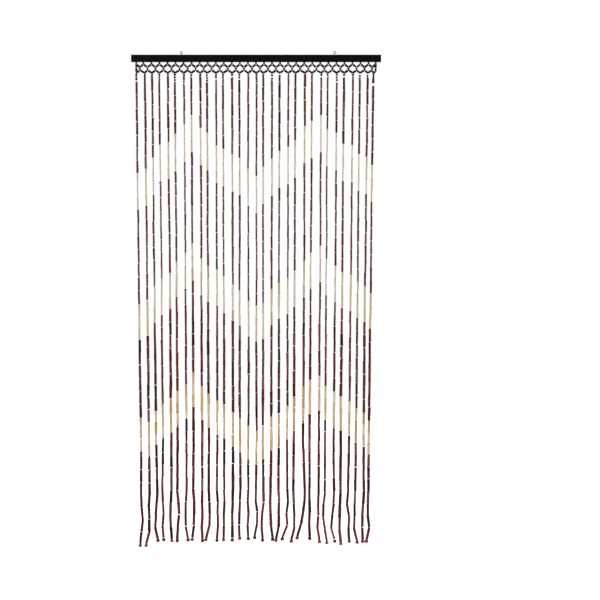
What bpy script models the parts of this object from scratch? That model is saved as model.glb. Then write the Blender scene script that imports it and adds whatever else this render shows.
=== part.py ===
"""Bamboo bead door curtain hung from a lacquered wooden header bar.

The bar hangs on two screw eyes. Under it the strings are tied into a diamond heading, and from the
heading's lower knots the strands hang free, each ending in a ball bead.

Frame: +X runs along the bar, -Y is the front and +Z is up. The origin is where the two hooks bear in
the screw eyes, halfway between the bar's ends. All sizes are in metres.
"""

import math
import random
from typing import NamedTuple

import bmesh
import bpy
from mathutils import Matrix, Vector

MM = 0.001
FIT_GAP = 0.0003
WELD = 0.00001

BAR_LENGTH = 0.900
BAR_DEPTH = 0.015
BAR_HEIGHT = 0.026
BAR_BEVEL = 0.0012
BAR_BEVEL_SEGMENTS = 2

EYE_PLACES = {"screw_eye_left": -0.2686, "screw_eye_right": 0.2837}
EYE_WIRE_RADIUS = 0.0011
EYE_RING_RADIUS = 0.0044
EYE_RING_LIFT = 0.0074
EYE_SCREW_DEPTH = 0.012
EYE_RING_STEPS = 24
EYE_WIRE_STEPS = 8
EYE_SHANK_SIDES = 12

EYE_CENTRE_Z = -(EYE_RING_RADIUS - EYE_WIRE_RADIUS)
BAR_TOP_Z = EYE_CENTRE_Z - EYE_RING_LIFT
BAR_BOTTOM_Z = BAR_TOP_Z - BAR_HEIGHT

STRING_PITCH = 0.0290
STRING_SHIFT = -0.0004
STRING_END_INSET = 0.0035
HEADING_EXIT_DROP = 0.0070
HEADING_MEETING_DROP = 0.0190
HEADING_PARTING_DROP = 0.0281
HEADING_DROP = 0.0388
HEADING_SIDE_FOOT_LIFT = 0.004
HEADING_RADIUS = 0.0026
STUB_RADIUS = 0.0029

STRAND_TOP_RADIUS = 0.0038
STRAND_FOOT_RADIUS = 0.0048
STRAND_ROOT_RISE = 0.0013
SWAY_STEPS = 8
SWAY_ACROSS = 0.0010
SWAY_DEPTH = 0.0015
SWAY_SEED = 31
TUBE_PITCH = 0.048
FOOT_DROP = 1.783
BALL_NECK = 0.0048
BALL_RINGS = ((0.0040, 0.0036), (0.0020, 0.0065), (-0.0022, 0.0065), (-0.0060, 0.0022))


class Strand(NamedTuple):
    """How one strand hangs, in whole millimetres.

    aside: from its string hole's place to where it hangs.
    kink4 to kink1: how far the last four joints between tubes stand aside, from the upper one down.
    foot: how far the ball bead stands aside.
    longer: how much lower the ball bead hangs than FOOT_DROP.
    """

    aside: int
    kink4: int
    kink3: int
    kink2: int
    kink1: int
    foot: int
    longer: int


STRANDS = (
    Strand(0, -2, -1, 3, -3, -8, 22),
    Strand(5, -1, -4, -3, -4, -16, 22),
    Strand(2, 3, 0, -4, -7, 3, 2),
    Strand(-1, -4, -3, -1, -5, -1, -1),
    Strand(1, -1, -4, -6, -5, -1, 3),
    Strand(-3, -4, 0, 2, -3, -6, 3),
    Strand(1, -2, -5, -6, -6, 2, 0),
    Strand(-2, -3, 0, 0, -2, -8, -2),
    Strand(2, -2, -3, -1, -4, -2, 3),
    Strand(-3, -1, 1, 2, 0, -13, -1),
    Strand(1, -3, 0, -1, 0, -4, 2),
    Strand(-3, -1, 0, -3, -3, -4, -1),
    Strand(1, -1, -2, -4, -4, -4, 0),
    Strand(-2, 2, -1, -2, -4, -2, -6),
    Strand(1, -1, -3, 0, -4, -1, -5),
    Strand(2, -2, -3, 3, 2, -7, -9),
    Strand(-3, 2, 3, -3, -5, -1, 1),
    Strand(0, -3, -4, -3, -1, 5, -2),
    Strand(-2, 0, 2, 1, 1, -9, 2),
    Strand(1, 1, 4, -2, 2, -17, -4),
    Strand(-3, -1, 1, 3, 3, -8, 5),
    Strand(3, 7, 7, 1, -7, -21, -8),
    Strand(-1, 0, 0, 1, -1, 2, -6),
    Strand(4, 0, -1, 0, -3, 5, 7),
    Strand(-2, 1, -4, -5, 2, 10, 11),
    Strand(2, 3, 2, -3, -7, 7, 5),
    Strand(-1, 1, -1, -1, -1, 4, 15),
    Strand(2, -2, -6, 2, 1, 4, 5),
    Strand(-2, 0, -2, -1, -3, 9, 9),
    Strand(-3, 4, 2, -1, 0, 2, 6),
    Strand(-8, 1, 0, 0, 6, -4, 5),
)


def clear_scene():
    """Removes every object that the start-up scene brings."""
    for obj in list(bpy.data.objects):
        bpy.data.objects.remove(obj)


def new_collection(name):
    """A collection of this name in the scene."""
    collection = bpy.data.collections.new(name)
    bpy.context.scene.collection.children.link(collection)
    return collection


def new_material(name, colour, roughness, metallic=0.0):
    """A plain finish: a Principled BSDF with this colour, roughness and metallic value."""
    material = bpy.data.materials.new(name)
    material.use_nodes = True
    shader = material.node_tree.nodes["Principled BSDF"]
    shader.inputs["Base Color"].default_value = (*colour, 1.0)
    shader.inputs["Roughness"].default_value = roughness
    shader.inputs["Metallic"].default_value = metallic
    return material


def move_to(obj, collection):
    """Puts an object in this collection alone."""
    for held_by in list(obj.users_collection):
        held_by.objects.unlink(obj)
    collection.objects.link(obj)


def add_box(name, size, centre):
    """A box with its scale applied, so that a bevel keeps its width."""
    bpy.ops.mesh.primitive_cube_add(size=1.0, location=centre)
    box = bpy.context.object
    box.name = name
    box.scale = size
    bpy.ops.object.transform_apply(location=False, rotation=False, scale=True)
    return box


def add_cylinder(name, radius, low_z, high_z, x):
    """An upright cylinder between two heights, in the plane of the strings."""
    bpy.ops.mesh.primitive_cylinder_add(
        vertices=EYE_SHANK_SIDES,
        radius=radius,
        depth=high_z - low_z,
        location=(x, 0.0, (high_z + low_z) / 2),
    )
    cylinder = bpy.context.object
    cylinder.name = name
    return cylinder


def add_boolean(obj, other, operation):
    """A live Boolean on obj. The other object becomes a wire helper that isn't rendered."""
    modifier = obj.modifiers.new(f"{operation.lower()}_{other.name}", "BOOLEAN")
    modifier.operation = operation
    modifier.object = other
    other.hide_render = True
    other.display_type = "WIRE"


def build_bar(parts, cutters, material):
    """The header bar, with a drilled hole for the screw of each eye."""
    centre = (0.0, 0.0, (BAR_TOP_Z + BAR_BOTTOM_Z) / 2)
    bar = add_box("header_bar", (BAR_LENGTH, BAR_DEPTH, BAR_HEIGHT), centre)
    bevel = bar.modifiers.new("eased_edges", "BEVEL")
    bevel.width = BAR_BEVEL
    bevel.segments = BAR_BEVEL_SEGMENTS
    for name, x in EYE_PLACES.items():
        drill = add_cylinder(
            f"drill_{name}",
            EYE_WIRE_RADIUS + FIT_GAP,
            BAR_TOP_Z - EYE_SCREW_DEPTH - FIT_GAP,
            BAR_TOP_Z + BAR_BEVEL,
            x,
        )
        add_boolean(bar, drill, "DIFFERENCE")
        move_to(drill, cutters)
    bar.data.materials.append(material)
    move_to(bar, parts)


def build_eye(name, x, parts, cutters, material):
    """One screw eye: a wire ring that faces the front, on a shank down into the bar."""
    bpy.ops.mesh.primitive_torus_add(
        major_radius=EYE_RING_RADIUS,
        minor_radius=EYE_WIRE_RADIUS,
        major_segments=EYE_RING_STEPS,
        minor_segments=EYE_WIRE_STEPS,
        location=(x, 0.0, EYE_CENTRE_Z),
        rotation=(math.pi / 2, 0.0, 0.0),
    )
    ring = bpy.context.object
    ring.name = name
    shank = add_cylinder(
        f"shank_{name}",
        EYE_WIRE_RADIUS,
        BAR_TOP_Z - EYE_SCREW_DEPTH,
        EYE_CENTRE_Z - EYE_RING_RADIUS,
        x,
    )
    add_boolean(ring, shank, "UNION")
    move_to(shank, cutters)
    ring.data.materials.append(material)
    ring.data.shade_smooth()
    move_to(ring, parts)


def string_x(index):
    """Where string number index leaves the bar. The first and the last stand nearer to their neighbours."""
    middle = (len(STRANDS) - 1) / 2
    inset = STRING_END_INSET if abs(index - middle) == middle else 0.0
    return STRING_PITCH * (index - middle) - math.copysign(inset, index - middle) + STRING_SHIFT


def outset(points, distance):
    """A closed outline moved out by a distance, its corners kept sharp. Its points run anticlockwise."""
    moved = []
    for before, corner, after in zip(points[-1:] + points[:-1], points, points[1:] + points[:1]):
        first = (corner - before).normalized()
        second = (after - corner).normalized()
        outward = Vector((first.y + second.y, -first.x - second.x)).normalized()
        across = Vector((first.y, -first.x)).dot(outward)
        moved.append(corner + outward * (distance / across))
    return moved


def heading_outlines():
    """The heading's centre lines in the plane of the strings, as (x, z) points.

    Two neighbouring strings meet, run down together and part again.
    Returns the outline round all of it, the openings inside it, the upper exits and the lower knots.
    """
    exit_z = BAR_BOTTOM_Z - HEADING_EXIT_DROP
    meeting_z = BAR_BOTTOM_Z - HEADING_MEETING_DROP
    parting_z = BAR_BOTTOM_Z - HEADING_PARTING_DROP
    knot_z = BAR_BOTTOM_Z - HEADING_DROP
    count = len(STRANDS)
    exits = [Vector((string_x(i), exit_z)) for i in range(count)]
    halfway = [(a.x + b.x) / 2 for a, b in zip(exits, exits[1:])]
    meetings = [Vector((x, meeting_z)) for x in halfway]
    partings = [Vector((x, parting_z)) for x in halfway]
    knots = [Vector((string_x(i) + strand.aside * MM, knot_z)) for i, strand in enumerate(STRANDS)]
    left_foot = Vector((exits[0].x, knot_z + HEADING_SIDE_FOOT_LIFT))
    right_foot = Vector((exits[-1].x, knot_z + HEADING_SIDE_FOOT_LIFT))
    lower_edge = [left_foot, knots[0]]
    upper_edge = [right_foot, exits[-1]]
    for parting, knot in zip(partings, knots[1:]):
        lower_edge += [parting, knot]
    for meeting, leaves in reversed(list(zip(meetings, exits))):
        upper_edge += [meeting, leaves]
    openings = [
        [knots[0], partings[0], meetings[0], exits[0], left_foot],
        [knots[-1], right_foot, exits[-1], meetings[-1], partings[-1]],
    ]
    for i in range(1, count - 1):
        openings.append([knots[i], partings[i], meetings[i], exits[i], meetings[i - 1], partings[i - 1]])
    return lower_edge + upper_edge, openings, exits, knots


def add_spline(curve, points, radii=None):
    """A POLY spline through these places, each with its own radius factor if given."""
    spline = curve.splines.new("POLY")
    spline.points.add(len(points) - 1)
    for index, place in enumerate(points):
        spline.points[index].co = (*place, 1.0)
        if radii:
            spline.points[index].radius = radii[index]
    return spline


def mesh_of_curve(curve, name, turn):
    """The curve's solid as a mesh object, turned by a matrix, with its caps welded on."""
    guide = bpy.data.objects.new(f"guide_{name}", curve)
    bpy.context.scene.collection.objects.link(guide)
    evaluated = guide.evaluated_get(bpy.context.evaluated_depsgraph_get())
    mesh = bpy.data.meshes.new_from_object(evaluated)
    bpy.data.objects.remove(guide)
    shape = bmesh.new()
    shape.from_mesh(mesh)
    bmesh.ops.remove_doubles(shape, verts=shape.verts, dist=WELD)
    bmesh.ops.transform(shape, matrix=turn, verts=shape.verts)
    bmesh.ops.recalc_face_normals(shape, faces=shape.faces)
    shape.to_mesh(mesh)
    shape.free()
    return bpy.data.objects.new(name, mesh)


def build_heading(outline, openings):
    """The diamond heading as one flat net, cut through at every opening."""
    curve = bpy.data.curves.new("heading", "CURVE")
    curve.dimensions = "2D"
    curve.fill_mode = "BOTH"
    curve.extrude = HEADING_RADIUS
    loops = [outset(outline, HEADING_RADIUS)]
    loops += [outset(opening, -HEADING_RADIUS) for opening in openings]
    for loop in loops:
        add_spline(curve, [(*point, 0.0) for point in loop]).use_cyclic_u = True
    return mesh_of_curve(curve, "heading", Matrix.Rotation(math.pi / 2, 4, "X"))


def strand_radius(height):
    """How thick a strand is at a height: its lower tubes are the thicker ones."""
    drop = (BAR_BOTTOM_Z - height) / FOOT_DROP
    return STRAND_TOP_RADIUS + (STRAND_FOOT_RADIUS - STRAND_TOP_RADIUS) * drop


def strand_route(knot, strand, sway):
    """One strand from just inside its knot to under its ball bead, as places and radii."""
    ball_z = BAR_BOTTOM_Z - FOOT_DROP - strand.longer * MM
    foot_z = ball_z + BALL_NECK
    kinks = (strand.kink4, strand.kink3, strand.kink2, strand.kink1)
    kink_top_z = foot_z + len(kinks) * TUBE_PITCH
    plumb = kink_top_z - knot.y
    root_z = knot.y + STRAND_ROOT_RISE
    places = [(knot.x, 0.0, root_z), (knot.x, 0.0, knot.y + plumb / SWAY_STEPS)]
    for step in range(2, SWAY_STEPS):
        across = sway.uniform(-SWAY_ACROSS, SWAY_ACROSS)
        depth = sway.uniform(-SWAY_DEPTH, SWAY_DEPTH)
        places.append((knot.x + across, depth, knot.y + plumb * step / SWAY_STEPS))
    for step, kink in enumerate(kinks):
        depth = sway.uniform(-SWAY_DEPTH, SWAY_DEPTH)
        places.append((knot.x + kink * MM, depth, kink_top_z - step * TUBE_PITCH))
    ball_x = knot.x + strand.foot * MM
    places.append((ball_x, 0.0, foot_z))
    radii = [strand_radius(height) for _, _, height in places]
    for height, radius in BALL_RINGS:
        places.append((ball_x, 0.0, ball_z + height))
        radii.append(radius)
    return places, radii


def build_strings(exits, knots):
    """Each string's stub under the bar, and its strand of four sides that swells into a ball bead."""
    curve = bpy.data.curves.new("strings", "CURVE")
    curve.dimensions = "3D"
    curve.bevel_depth = 1.0
    curve.bevel_resolution = 0
    curve.use_fill_caps = True
    for leaves in exits:
        stub = [(leaves.x, 0.0, BAR_BOTTOM_Z - FIT_GAP), (leaves.x, 0.0, leaves.y)]
        add_spline(curve, stub, [STUB_RADIUS] * len(stub))
    sway = random.Random(SWAY_SEED)
    for knot, strand in zip(knots, STRANDS):
        add_spline(curve, *strand_route(knot, strand, sway))
    return mesh_of_curve(curve, "strings", Matrix())


def build_curtain(parts, cutters, material):
    """The strung curtain: strands fused at their roots into the heading."""
    outline, openings, exits, knots = heading_outlines()
    curtain = build_heading(outline, openings)
    curtain.name = "strung_curtain"
    strings = build_strings(exits, knots)
    add_boolean(curtain, strings, "UNION")
    cutters.objects.link(strings)
    curtain.data.materials.append(material)
    parts.objects.link(curtain)


def main():
    """Clears the scene and builds every piece."""
    clear_scene()
    parts = new_collection("bamboo_door_curtain")
    cutters = new_collection("cutters")
    lacquer = new_material("black_lacquer", (0.016, 0.018, 0.016), 0.38)
    steel = new_material("eye_steel", (0.28, 0.28, 0.27), 0.35, metallic=1.0)
    bamboo = new_material("stained_bamboo", (0.085, 0.018, 0.015), 0.42)
    build_bar(parts, cutters, lacquer)
    for name, x in EYE_PLACES.items():
        build_eye(name, x, parts, cutters, steel)
    build_curtain(parts, cutters, bamboo)


main()
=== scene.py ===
"""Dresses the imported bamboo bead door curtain: its lacquered bar, screw eyes, beaded heading and strands.

All places are in metres in the part's own frame: +X along the bar, -Y the front, +Z up.
"""

import logging
import math
import random
from collections.abc import Callable, Sequence
from dataclasses import dataclass, field
from enum import Enum

import bmesh
import bpy
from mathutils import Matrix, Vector


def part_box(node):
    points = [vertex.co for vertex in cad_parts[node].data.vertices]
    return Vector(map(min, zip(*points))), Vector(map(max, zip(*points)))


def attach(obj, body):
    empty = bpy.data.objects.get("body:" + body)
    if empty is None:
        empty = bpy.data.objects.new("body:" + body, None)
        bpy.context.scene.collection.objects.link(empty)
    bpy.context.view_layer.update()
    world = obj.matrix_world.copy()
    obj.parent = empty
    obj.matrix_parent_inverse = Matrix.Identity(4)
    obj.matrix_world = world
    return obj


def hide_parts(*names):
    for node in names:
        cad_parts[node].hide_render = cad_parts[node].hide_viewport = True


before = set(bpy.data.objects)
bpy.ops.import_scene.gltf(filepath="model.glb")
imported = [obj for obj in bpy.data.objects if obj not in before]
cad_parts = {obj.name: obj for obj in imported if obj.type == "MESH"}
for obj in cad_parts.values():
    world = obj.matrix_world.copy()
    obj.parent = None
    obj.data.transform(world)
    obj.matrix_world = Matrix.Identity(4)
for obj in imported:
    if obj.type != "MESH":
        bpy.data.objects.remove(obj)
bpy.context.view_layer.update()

LOG = logging.getLogger("door_curtain")
MM = 0.001
NEAR = 0.0001
SMOOTH_UP_TO = math.radians(40)
WHITE = (1.0, 1.0, 1.0, 1.0)

# A face closes an end where its normal is this much upright.
END_FACE = 0.9

# A point is on a bead's outer wall where it is past this share of the radius.
OUTER_WALL = 0.9

Colour = tuple[float, float, float]
Scale = tuple[float, float, float]
Place = tuple[float, float, float]
Span = tuple[float, float]


class Slot(Enum):
    """The record's material slots."""

    BLACK_LACQUER = "black_lacquer"
    EYE_STEEL = "eye_steel"
    STAINED_BAMBOO = "stained_bamboo"
    PALE_BAMBOO = "pale_bamboo"
    BALL_BEAD = "ball_bead"
    BEAD_CORD = "bead_cord"


class BeadKind(Enum):
    """What is threaded on the strands' cords."""

    DARK_TUBE = "dark tube"
    PALE_TUBE = "pale tube"
    ROUND = "round bead"
    BALL = "ball bead"


@dataclass(frozen=True)
class Strand:
    """One strand, in whole millimetres.

    aside: how far it hangs beside its hole in the bar.
    kinks: how far its last four joints between tubes stand aside, from the upper one down.
    foot: how far its ball bead stands aside.
    longer: how much lower its ball bead hangs than the usual drop, or higher where it is negative.
    spacers: what hangs above the first long tube, by the marks in Strands.spacer_lengths.
    tubes: long dark tubes above the first pale band.
    bands: where the three pale bands start, below the heading's knots.
    """

    aside: int
    kinks: tuple[int, int, int, int]
    foot: int
    longer: int
    spacers: str
    tubes: int
    bands: tuple[int, int, int]


STRANDS = (
    Strand(0, (-2, -1, 3, -3), -8, 22, "ooo.", 7, (360, 842, 1270)),
    Strand(5, (-1, -4, -3, -4), -16, 22, "", 7, (345, 827, 1286)),
    Strand(2, (3, 0, -4, -7), 3, 2, "oo", 6, (305, 778, 1244)),
    Strand(-1, (-4, -3, -1, -5), -1, -1, "oho", 5, (258, 749, 1217)),
    Strand(1, (-1, -4, -6, -5), -1, 3, "o", 5, (248, 726, 1198)),
    Strand(-3, (-4, 0, 2, -3), -6, 3, "o'o'o'", 4, (219, 682, 1168)),
    Strand(1, (-2, -5, -6, -6), 2, 0, "oooh'", 3, (186, 652, 1145)),
    Strand(-2, (-3, 0, 0, -2), -8, -2, "'o'", 3, (151, 619, 1099)),
    Strand(2, (-2, -3, -1, -4), -2, 3, "o", 4, (197, 675, 1149)),
    Strand(-3, (-1, 1, 2, 0), -13, -1, "'o'o'o'", 4, (215, 700, 1179)),
    Strand(1, (-3, 0, -1, 0), -4, 2, "oo.", 5, (262, 715, 1206)),
    Strand(-3, (-1, 0, -3, -3), -4, -1, "ohho'", 5, (273, 741, 1221)),
    Strand(1, (-1, -2, -4, -4), -4, 0, "o.", 6, (294, 771, 1251)),
    Strand(-2, (2, -1, -2, -4), -2, -6, "o'o.", 6, (305, 789, 1274)),
    Strand(1, (-1, -3, 0, -4), -1, -5, "o", 7, (345, 830, 1301)),
    Strand(2, (-2, -3, 3, 2), -7, -9, "oooo'", 7, (371, 849, 1320)),
    Strand(-3, (2, 3, -3, -5), -1, 1, "", 7, (338, 838, 1301)),
    Strand(0, (-3, -4, -3, -1), 5, -2, "'o.o'", 6, (309, 786, 1267)),
    Strand(-2, (0, 2, 1, 1), -9, 2, ".oso", 5, (280, 763, 1255)),
    Strand(1, (1, 4, -2, 2), -17, -4, "so", 5, (266, 745, 1225)),
    Strand(-3, (-1, 1, 3, 3), -8, 5, "", 5, (244, 719, 1190)),
    Strand(3, (7, 7, 1, -7), -21, -8, "", 4, (190, 682, 1152)),
    Strand(-1, (0, 0, 1, -1), 2, -6, "ooo", 3, (172, 652, 1126)),
    Strand(4, (0, -1, 0, -3), 5, 7, "o.", 3, (151, 627, 1114)),
    Strand(-2, (1, -4, -5, 2), 10, 11, "o'", 4, (201, 675, 1149)),
    Strand(2, (3, 2, -3, -7), 7, 5, "o'o'o.", 4, (215, 700, 1171)),
    Strand(-1, (1, -1, -1, -1), 4, 15, "o.", 5, (255, 723, 1190)),
    Strand(2, (-2, -6, 2, 1), 4, 5, "o'o", 5, (258, 734, 1209)),
    Strand(-2, (0, -2, -1, -3), 9, 9, ".o'o", 6, (291, 760, 1236)),
    Strand(-3, (4, 2, -1, 0), 2, 6, ".o", 6, (302, 775, 1251)),
    Strand(-8, (1, 0, 0, 6), -4, 5, "oos'-", 6, (331, 801, 1282)),
)


class Value:
    """A number's socket that takes part in Python arithmetic, each step of which adds a Math node."""

    def __init__(self, bench: "NodeBench", socket: bpy.types.NodeSocket) -> None:
        """Keeps the socket and the bench that its nodes stand on."""
        self.bench = bench
        self.socket = socket

    def _with(self, operation: str, first: "Value | float", second: "Value | float") -> "Value":
        """Adds a Math node.

        Args:
            operation: the Math node's operation.
            first: its upper value.
            second: its lower value.

        Returns:
            The node's result.
        """
        node = self.bench.add("ShaderNodeMath", {"operation": operation}, {0: first, 1: second})
        return Value(self.bench, node.outputs[0])

    def __add__(self, other: "Value | float") -> "Value":
        """Sum."""
        return self._with("ADD", self, other)

    def __radd__(self, other: float) -> "Value":
        """Sum, with the number first."""
        return self._with("ADD", other, self)

    def __sub__(self, other: "Value | float") -> "Value":
        """Difference."""
        return self._with("SUBTRACT", self, other)

    def __rsub__(self, other: float) -> "Value":
        """Difference from a number."""
        return self._with("SUBTRACT", other, self)

    def __mul__(self, other: "Value | float") -> "Value":
        """Product."""
        return self._with("MULTIPLY", self, other)

    def __rmul__(self, other: float) -> "Value":
        """Product, with the number first."""
        return self._with("MULTIPLY", other, self)

    def __gt__(self, other: float) -> "Value":
        """1 where the value is above the number, and 0 elsewhere."""
        return self._with("GREATER_THAN", self, other)

    def __abs__(self) -> "Value":
        """Size without sign."""
        return self._with("ABSOLUTE", self, 0.0)


class NodeBench:
    """The node tree of one material, cleared down to its Principled shader."""

    def __init__(self, name: str) -> None:
        """Makes the material.

        Args:
            name: the material's name.
        """
        self.material = bpy.data.materials.new(name)
        self.material.use_nodes = True
        self.tree = self.material.node_tree
        self.shader = self.tree.nodes["Principled BSDF"]

    def add(
        self, kind: str, settings: dict[str, object], inputs: dict[int | str, object]
    ) -> bpy.types.Node:
        """Adds any node.

        Args:
            kind: the node's type.
            settings: its own settings, set first; a ramp's stops are (place, colour) pairs.
            inputs: a value, a socket or a Value for each of its sockets, by number, name or identifier.

        Returns:
            The node.
        """
        node = self.tree.nodes.new(kind)
        for key, setting in settings.items():
            if key == "stops":
                self._set_stops(node.color_ramp, setting)
            else:
                setattr(node, key, setting)
        for key, value in inputs.items():
            self.feed(self._socket(node, key), value)
        return node

    def feed(self, socket: bpy.types.NodeSocket, value: object) -> None:
        """Gives a socket its value or its link.

        Args:
            socket: the socket.
            value: a plain value, another node's socket or a Value.
        """
        if isinstance(value, Value):
            value = value.socket
        if isinstance(value, bpy.types.NodeSocket):
            self.tree.links.new(value, socket)
        else:
            socket.default_value = value

    def finish(self, **inputs: object) -> bpy.types.Material:
        """Sets the shader's sockets.

        Args:
            inputs: what each socket gets, under the socket's name with underscores.

        Returns:
            The finished material.
        """
        for key, value in inputs.items():
            name = key.replace("_", " ").title().replace("Ior", "IOR")
            self.feed(self.shader.inputs[name], value)
        return self.material

    def object_place(self) -> bpy.types.NodeSocket:
        """Object coordinates, in metres."""
        return self.add("ShaderNodeTexCoord", {}, {}).outputs["Object"]

    def attribute(self, name: str, output: str) -> bpy.types.NodeSocket:
        """An attribute of the piece's own mesh: its Fac as a number or its Vector."""
        return self.add("ShaderNodeAttribute", {"attribute_name": name}, {}).outputs[output]

    def stretched(self, place: bpy.types.NodeSocket, scale: Scale) -> bpy.types.NodeSocket:
        """Coordinates stretched by a scale for each axis."""
        return self.add("ShaderNodeMapping", {}, {"Vector": place, "Scale": scale}).outputs["Vector"]

    def noise(self, place: bpy.types.NodeSocket, scale: Scale, detail: float) -> Value:
        """Noise from 0 to 1, with so many patches to the metre along each axis."""
        inputs = {"Vector": self.stretched(place, scale), "Scale": 1.0, "Detail": detail}
        return Value(self, self.add("ShaderNodeTexNoise", {}, inputs).outputs["Fac"])

    def ramp(self, value: Value, stops: Sequence[tuple[float, Colour]]) -> bpy.types.NodeSocket:
        """The colour of a ramp at a value."""
        return self.add("ShaderNodeValToRGB", {"stops": stops}, {0: value}).outputs["Color"]

    def mix(self, share: Value, first: object, second: object) -> bpy.types.NodeSocket:
        """One colour that gives way to another as the share goes from 0 to 1."""
        inputs = {"Factor_Float": share, "A_Color": first, "B_Color": second}
        return self.add("ShaderNodeMix", {"data_type": "RGBA"}, inputs).outputs["Result"]

    def bump(self, height: Value, distance: float) -> bpy.types.NodeSocket:
        """A normal that is raised by up to a distance, in metres."""
        return self.add("ShaderNodeBump", {}, {"Height": height, "Distance": distance}).outputs["Normal"]

    @staticmethod
    def _socket(node: bpy.types.Node, key: int | str) -> bpy.types.NodeSocket:
        """Finds one of a node's inputs.

        Args:
            node: the node.
            key: the input's number, identifier or name.

        Returns:
            The input.
        """
        if isinstance(key, int):
            return node.inputs[key]
        for socket in node.inputs:
            if socket.identifier == key:
                return socket
        return node.inputs[key]

    @staticmethod
    def _set_stops(ramp: bpy.types.ColorRamp, stops: Sequence[tuple[float, Colour]]) -> None:
        """Gives a ramp its stops.

        Args:
            ramp: the ramp.
            stops: its (place, colour) pairs, from 0 up to 1.
        """
        while len(ramp.elements) > 1:
            ramp.elements.remove(ramp.elements[-1])
        for number, (place, colour) in enumerate(stops):
            element = ramp.elements[0] if number == 0 else ramp.elements.new(place)
            element.position = place
            element.color = (*colour, 1.0)


@dataclass(frozen=True)
class Lacquer:
    """Near-black satin lacquer over straight-grained wood, with end grain at the bar's two ends.

    grain, cloud and rings: how many patches there are to the metre along each axis.
    end_from: how far from the bar's middle its end faces start.
    relief: how high the grain stands.
    """

    deep: Colour = (0.0008, 0.0016, 0.0014)
    thin: Colour = (0.0034, 0.0052, 0.0045)
    end_wood: Colour = (0.0180, 0.0140, 0.0110)
    grain: Scale = (6.0, 420.0, 420.0)
    cloud: Scale = (14.0, 60.0, 60.0)
    rings: Scale = (40.0, 900.0, 260.0)
    end_from: float = 0.4494
    relief: float = 0.00012

    def material(self) -> bpy.types.Material:
        """Mixes the lacquer.

        Returns:
            Its material.
        """
        bench = NodeBench("black_lacquer")
        place = bench.object_place()
        grain = bench.noise(place, self.grain, 4.0)
        cloud = bench.noise(place, self.cloud, 2.0)
        rings = bench.noise(place, self.rings, 3.0)
        split = bench.add("ShaderNodeSeparateXYZ", {}, {0: place})
        at_end = abs(Value(bench, split.outputs["X"])) > self.end_from
        long_grain = bench.ramp(grain * 0.7 + cloud * 0.3, ((0.32, self.deep), (0.68, self.thin)))
        end_grain = bench.ramp(rings, ((0.35, self.deep), (0.70, self.end_wood)))
        return bench.finish(
            base_color=bench.mix(at_end, long_grain, end_grain),
            roughness=0.34 + cloud * 0.22,
            normal=bench.bump(grain, self.relief),
            specular_ior_level=0.05,
        )


@dataclass(frozen=True)
class EyeSteel:
    """Dark burnished steel wire.

    tarnish: how many dull patches there are to the metre along each axis.
    relief: how high they stand.
    """

    dull: Colour = (0.030, 0.030, 0.030)
    bright: Colour = (0.095, 0.095, 0.092)
    tarnish: Scale = (700.0, 700.0, 700.0)
    relief: float = 0.00003

    def material(self) -> bpy.types.Material:
        """Mixes the steel.

        Returns:
            Its material.
        """
        bench = NodeBench("eye_steel")
        patches = bench.noise(bench.object_place(), self.tarnish, 3.0)
        return bench.finish(
            base_color=bench.ramp(patches, ((0.35, self.dull), (0.65, self.bright))),
            roughness=0.28 + patches * 0.25,
            metallic=1.0,
            normal=bench.bump(patches, self.relief),
        )


@dataclass(frozen=True)
class Bamboo:
    """Bamboo tube under satin varnish, with lengthwise fibre; each tube has its own tone from 0 to 1.

    tones: the stain's colours along that range.
    fibre_colour and cut_colour: the raised fibres and the sawn ends.
    fibre and stain: how many patches there are to the metre along each axis.
    stain_change: how far the stain varies within a tube.
    fibre_from: the noise above which a fibre shows, at its fibre_share.
    cut_share: how much of a sawn end's own colour shows.
    relief: how high the fibres stand.
    """

    slot: Slot
    tones: tuple[tuple[float, Colour], ...]
    fibre_colour: Colour
    cut_colour: Colour
    fibre: Scale = (1500.0, 1500.0, 45.0)
    stain: Scale = (160.0, 160.0, 38.0)
    stain_change: float = 0.30
    fibre_from: float = 0.60
    fibre_share: float = 0.45
    cut_share: float = 0.7
    relief: float = 0.00010

    def material(self) -> bpy.types.Material:
        """Mixes the bamboo's stain and varnish.

        Returns:
            The material.
        """
        bench = NodeBench(self.slot.value)
        place = bench.attribute("fibre", "Vector")
        tone = Value(bench, bench.attribute("tone", "Fac"))
        cut = Value(bench, bench.attribute("cut", "Fac"))
        fibres = bench.noise(place, self.fibre, 3.0)
        patches = bench.noise(place, self.stain, 2.0)
        stain = bench.ramp(tone + (patches - 0.5) * self.stain_change, self.tones)
        fibre_share = (fibres > self.fibre_from) * self.fibre_share
        fibred = bench.mix(fibre_share, stain, (*self.fibre_colour, 1.0))
        return bench.finish(
            base_color=bench.mix(cut * self.cut_share, fibred, (*self.cut_colour, 1.0)),
            roughness=0.36 + fibres * 0.20 + cut * 0.25,
            normal=bench.bump(fibres, self.relief),
            specular_ior_level=0.12,
        )


@dataclass(frozen=True)
class TurnedWood:
    """Turned wooden ball bead, stained reddish brown.

    grain: how many streaks there are to the metre along each axis.
    relief: how high they stand.
    """

    deep: Colour = (0.060, 0.007, 0.006)
    light: Colour = (0.270, 0.055, 0.040)
    grain: Scale = (900.0, 900.0, 120.0)
    relief: float = 0.00008

    def material(self) -> bpy.types.Material:
        """Mixes the ball beads' stain.

        Returns:
            The material.
        """
        bench = NodeBench("ball_bead")
        place = bench.attribute("fibre", "Vector")
        tone = Value(bench, bench.attribute("tone", "Fac"))
        grain = bench.noise(place, self.grain, 3.0)
        return bench.finish(
            base_color=bench.ramp(tone * 0.6 + grain * 0.4, ((0.25, self.deep), (0.75, self.light))),
            roughness=0.34 + grain * 0.20,
            normal=bench.bump(grain, self.relief),
            specular_ior_level=0.2,
        )


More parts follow.
